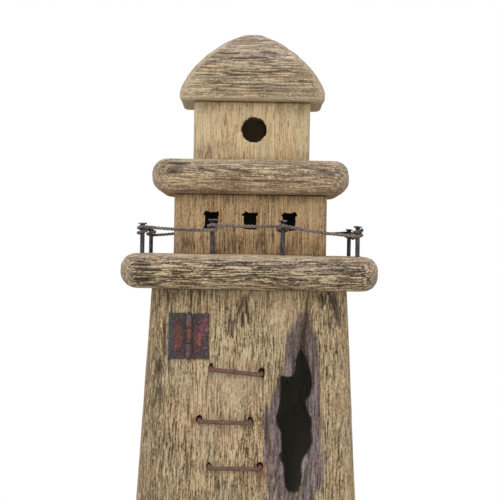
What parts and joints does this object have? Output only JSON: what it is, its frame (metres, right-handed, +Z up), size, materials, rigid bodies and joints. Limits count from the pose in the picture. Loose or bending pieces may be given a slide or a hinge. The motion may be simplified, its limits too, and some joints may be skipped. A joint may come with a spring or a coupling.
{
  "type": "wooden lighthouse ornament",
  "caption": "Rustic square lighthouse ornament of weathered boards: tapered hollow tower, railed gallery, watch room, lantern block and domed cap, with a wire-staple ladder and an old hinge.",
  "frame": {"origin": "middle of the flat base, on the surface that the ornament stands on", "axes": "+Z up the tower, -Y out of the front with the ladder and the windows, +X to the right seen from the front"},
  "size_m": [0.146, 0.146, 0.4009],
  "materials": {
    "tower_wood": "rough weathered softwood, upright grain, unpainted",
    "inner_wood": "bare sawn softwood",
    "block_wood": "weathered softwood, upright grain, stained brown under the slabs",
    "slab_wood": "weathered grey-brown softwood, level grain, cracked",
    "dowel_wood": "turned hardwood",
    "brad_steel": "dark oxidised steel",
    "nail_steel": "dull grey wire nail",
    "rusty_wire": "rusted iron wire",
    "hinge_paint": "worn red paint over dark steel",
    "hinge_steel": "dark oxidised steel",
    "rail_cord": "twisted grey twine"
  },
  "bodies": {
    "root": {"tower_front_board": "tower_wood", "tower_back_board": "tower_wood", "tower_left_board": "tower_wood", "tower_right_board": "tower_wood", "tower_floor_board": "inner_wood", "tower_top_board": "inner_wood", "watch_room_block": "block_wood", "lantern_block": "block_wood", "gallery_deck": "slab_wood", "upper_deck": "slab_wood", "domed_cap": "slab_wood", "deck_dowels": "dowel_wood", "upper_deck_dowels": "dowel_wood", "cap_dowels": "dowel_wood", "front_brads": "brad_steel", "back_brads": "brad_steel", "left_brads": "brad_steel", "right_brads": "brad_steel", "rail_nail_1": "nail_steel", "rail_nail_2": "nail_steel", "rail_nail_3": "nail_steel", "rail_nail_4": "nail_steel", "rail_nail_5": "nail_steel", "rail_nail_6": "nail_steel", "rail_nail_7": "nail_steel", "rail_nail_8": "nail_steel", "ladder_rung_1": "rusty_wire", "ladder_rung_2": "rusty_wire", "ladder_rung_3": "rusty_wire", "ladder_rung_4": "rusty_wire", "ladder_rung_5": "rusty_wire", "ladder_rung_6": "rusty_wire", "ladder_rung_7": "rusty_wire", "hinge_left_leaf": "hinge_paint", "hinge_right_leaf": "hinge_paint", "hinge_pin": "hinge_steel", "hinge_nails": "hinge_steel", "rail_cord": "rail_cord"}
  },
  "joints": []
}
